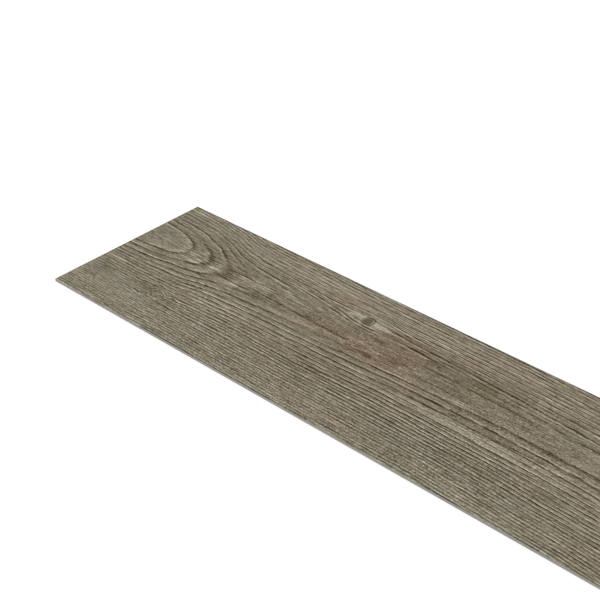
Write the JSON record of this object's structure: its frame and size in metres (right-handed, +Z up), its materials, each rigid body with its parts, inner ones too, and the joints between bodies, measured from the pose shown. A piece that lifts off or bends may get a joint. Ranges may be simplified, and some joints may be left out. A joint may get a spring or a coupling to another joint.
{
  "type": "vinyl floor plank",
  "caption": "Thin rectangular vinyl floor plank with a weathered wood face, fine bevelled edges and a flat back for gluing down.",
  "frame": {"origin": "middle of the back face, which lies on the floor", "axes": "+X along the plank's length, +Y across its width, +Z up through its thickness, out of the printed face"},
  "size_m": [0.9144, 0.1524, 0.0025],
  "materials": {
    "vinyl": "matt printed and embossed wood grain in weathered grey-brown, cool grey cut edges"
  },
  "bodies": {
    "root": {"plank": "vinyl"}
  },
  "joints": []
}
